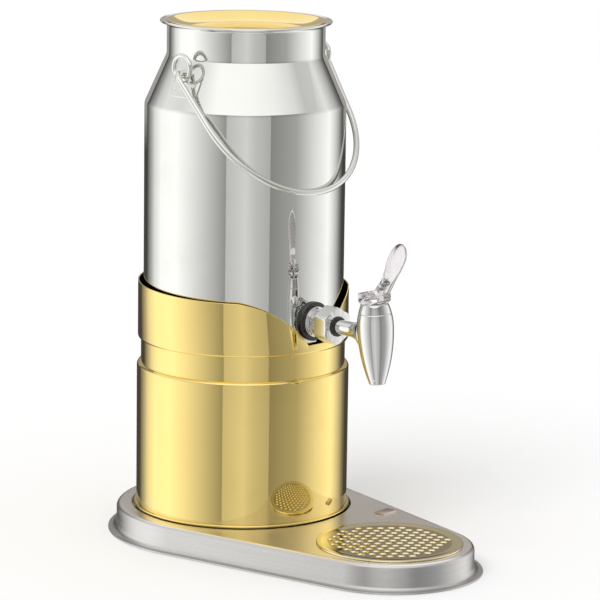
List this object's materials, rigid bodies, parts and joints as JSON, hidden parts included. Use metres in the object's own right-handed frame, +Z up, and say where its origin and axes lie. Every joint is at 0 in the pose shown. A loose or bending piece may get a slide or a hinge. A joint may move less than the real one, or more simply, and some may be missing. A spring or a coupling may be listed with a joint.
{
  "type": "milk dispenser",
  "caption": "Polished steel milk churn with a bail handle, dished gilt lid and lever tap, standing in a gilt cooling stand on a steel drip tray with a perforated grate.",
  "frame": {"origin": "on the churn's axis, on the plane of the table under the non-slip mat", "axes": "+Z up, -Y from the churn's axis out along the tap to the drip grate, +X to the right seen from the tap's side"},
  "size_m": [0.222, 0.36, 0.4258],
  "materials": {
    "polished_steel": "mirror-polished stainless steel",
    "gilt": "mirror-polished gold-coloured plating",
    "satin_steel": "satin stainless steel",
    "plain_steel": "plain steel, hidden inside",
    "chrome": "polished chrome plating",
    "clear_acrylic": "clear acrylic with a faint warm grey tint",
    "black_rubber": "black rubber",
    "white_silicone": "food-grade silicone",
    "mat_rubber": "non-slip rubber sheet",
    "badge": "bare satin plate, nothing printed on it",
    "pack_plastic": "blue plastic shell of the cold pack",
    "cap_plastic": "white plastic screw cap"
  },
  "bodies": {
    "stand": {"base_tray": "satin_steel", "base_plate": "plain_steel", "base_mat": "mat_rubber", "base_posts": "plain_steel", "base_screws": "plain_steel", "badge_plate": "badge", "stand_drum": "gilt", "drum_floor": "plain_steel", "drum_screws": "plain_steel", "drum_nuts": "plain_steel", "stand_collar": "gilt", "churn_seat": "plain_steel", "cold_pack": "pack_plastic", "pack_cap": "cap_plastic"},
    "drip_cup": {"drip_cup": "satin_steel"},
    "drip_grate": {"drip_grate": "gilt"},
    "churn": {"churn_shell": "polished_steel", "churn_floor": "polished_steel", "ear_plate_left": "polished_steel", "ear_plate_right": "polished_steel", "ear_ring_left": "polished_steel", "ear_ring_right": "polished_steel", "outlet_nipple": "chrome", "outer_gasket": "black_rubber", "outer_washer": "chrome", "inner_gasket": "black_rubber", "lock_nut": "chrome", "union_nut": "chrome", "retaining_ring": "black_rubber", "pipe_gasket": "black_rubber", "tap_body": "chrome", "tap_bonnet": "chrome", "bonnet_seal": "black_rubber"},
    "lid": {"lid": "gilt", "lid_seal": "white_silicone"},
    "bail": {"bail_handle": "polished_steel"},
    "stem": {"valve_stem": "plain_steel", "seat_cup": "white_silicone", "valve_spring": "plain_steel"},
    "lever": {"tap_lever": "clear_acrylic", "lever_pin": "plain_steel"}
  },
  "joints": [
    {"name": "churn_lift", "type": "slide", "parent": "stand", "child": "churn", "axis": [0, 0, 1], "range_m": [0, 0.075]},
    {"name": "lid_lift", "type": "slide", "parent": "churn", "child": "lid", "axis": [0, 0, 1], "range_m": [0, 0.03]},
    {"name": "bail_swing", "type": "hinge", "parent": "churn", "child": "bail", "pos_m": [0, -0.008, 0.3887], "axis": [-1, 0, 0], "range_deg": [0, 268]},
    {"name": "stem_lift", "type": "slide", "parent": "churn", "child": "stem", "axis": [0, 0.0698, 0.9976], "range_m": [0, 0.00176], "deforming": ["valve_spring"]},
    {"name": "lever_tilt", "type": "hinge", "parent": "stem", "child": "lever", "pos_m": [0, -0.15187, 0.21893], "axis": [1, 0, 0], "range_deg": [0, 20], "stiffness_Nm_per_rad": 0.6, "springref_deg": -11.46},
    {"name": "cup_lift", "type": "slide", "parent": "stand", "child": "drip_cup", "axis": [0, 0, 1], "range_m": [0, 0.05]},
    {"name": "grate_lift", "type": "slide", "parent": "drip_cup", "child": "drip_grate", "axis": [0, 0, 1], "range_m": [0, 0.05]}
  ],
  "couplings": [
    {"joint": "stem_lift", "follows": "lever_tilt", "m_per_rad": 0.005}
  ]
}
